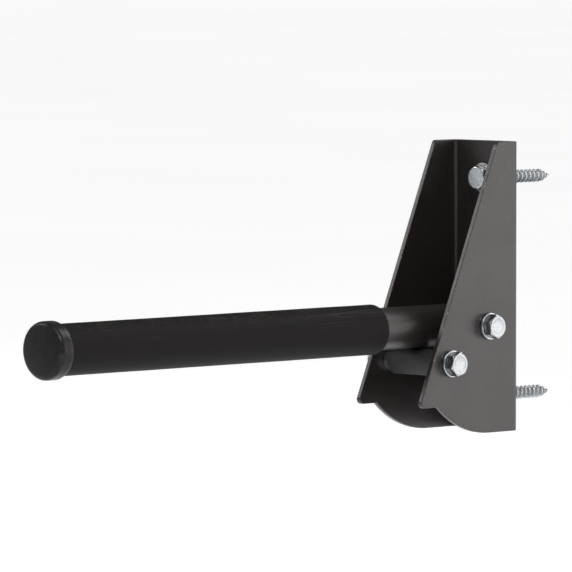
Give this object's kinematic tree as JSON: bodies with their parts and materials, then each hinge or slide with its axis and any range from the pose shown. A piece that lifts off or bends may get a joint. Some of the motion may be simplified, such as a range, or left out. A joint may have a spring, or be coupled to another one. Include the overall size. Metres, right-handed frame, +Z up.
{
  "type": "wall-mounted bike rack",
  "caption": "Folded steel wall channel with a round sleeved arm that carries a bike and spare wheels and folds up flat.",
  "frame": {"origin": "on the wall face of the channel, level with the arm's centre line and midway between the side plates", "axes": "+Z up, -Y out from the wall along the lowered arm, +X to the right as seen from the room"},
  "size_m": [0.0742, 0.4258, 0.174],
  "materials": {
    "powder_coat": "satin black powder coat",
    "arm_powder_coat": "satin black powder coat",
    "weld_metal": "powder coat over a rippled weld",
    "lag_zinc": "bright zinc plate",
    "bolt_zinc": "bright zinc plate",
    "nut_zinc": "bright zinc plate",
    "washer_zinc": "bright zinc plate",
    "spacer_zinc": "bright zinc plate",
    "nylon": "natural nylon",
    "sleeve_rubber": "matt black rubber",
    "bumper_rubber": "matt black rubber",
    "cap_plastic": "moulded black plastic",
    "plug_plastic": "moulded black plastic"
  },
  "bodies": {
    "bracket": {"wall_channel": "powder_coat", "upper_lag_screw": "lag_zinc", "upper_lag_washer": "washer_zinc", "lower_lag_screw": "lag_zinc", "lower_lag_washer": "washer_zinc", "hinge_bolt": "bolt_zinc", "hinge_lock_nut": "nut_zinc", "hinge_head_washer": "washer_zinc", "hinge_nut_washer": "washer_zinc", "stop_bolt": "bolt_zinc", "stop_lock_nut": "nut_zinc", "stop_head_washer": "washer_zinc", "stop_nut_washer": "washer_zinc", "stop_spacer": "spacer_zinc", "stop_bumper": "bumper_rubber"},
    "arm": {"arm_tube": "arm_powder_coat", "hinge_barrel": "arm_powder_coat", "weld_bead_right": "weld_metal", "weld_bead_left": "weld_metal", "hinge_bush_right": "nylon", "hinge_bush_left": "nylon", "arm_sleeve": "sleeve_rubber", "end_cap": "cap_plastic", "root_plug": "plug_plastic"}
  },
  "joints": [
    {"name": "arm_fold", "type": "hinge", "parent": "bracket", "child": "arm", "pos_m": [0, -0.027, 0], "axis": [-1, 0, 0], "range_deg": [0, 90]}
  ]
}
